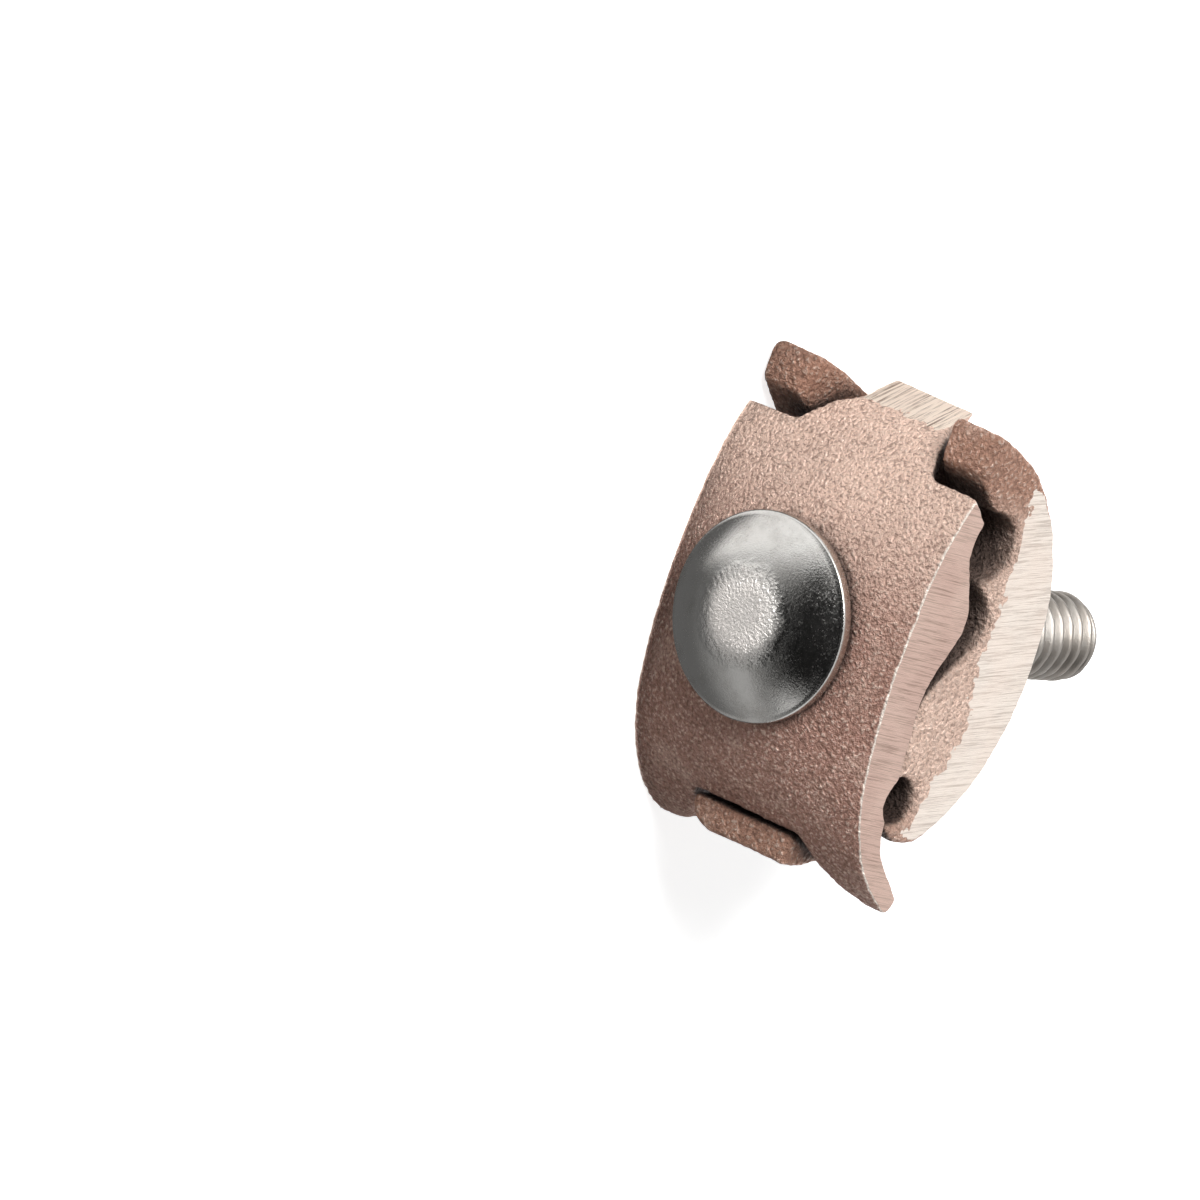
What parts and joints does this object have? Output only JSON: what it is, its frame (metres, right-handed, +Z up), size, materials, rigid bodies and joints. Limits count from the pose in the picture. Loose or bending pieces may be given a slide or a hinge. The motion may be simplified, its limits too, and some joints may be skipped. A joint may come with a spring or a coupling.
{
  "type": "grounding cable clamp",
  "caption": "Grounding cable clamp: interlocking cast jaws with wire channels across them, drawn together by a carriage bolt, lock washer and hex nut.",
  "frame": {"origin": "centre of the box around the whole clamp, on the ground sides that it lies on", "axes": "+Y along the bolt from its head to its threaded end, +Z up across the jaws' width, +X from the nose and fingers towards the hook"},
  "size_m": [0.0433, 0.0484, 0.0259],
  "materials": {
    "cast_bronze": "sand-cast, with ground side faces",
    "steel": "plated satin"
  },
  "bodies": {
    "rear": {"rear_jaw": "cast_bronze", "lock_washer": "steel"},
    "front": {"front_jaw": "cast_bronze", "carriage_bolt": "steel"},
    "nut": {"hex_nut": "steel"}
  },
  "joints": [
    {"name": "nut_spin", "type": "hinge", "parent": "rear", "child": "nut", "pos_m": [-0.0004, 0.00948, 0.01295], "axis": [0, 1, 0], "range_deg": [0, 3061]},
    {"name": "jaw_slide", "type": "slide", "parent": "rear", "child": "front", "axis": [0, -1, 0], "range_m": [0, 0.01199]}
  ],
  "couplings": [
    {"joint": "nut_spin", "follows": "jaw_slide", "rad_per_m": 4452.7}
  ]
}
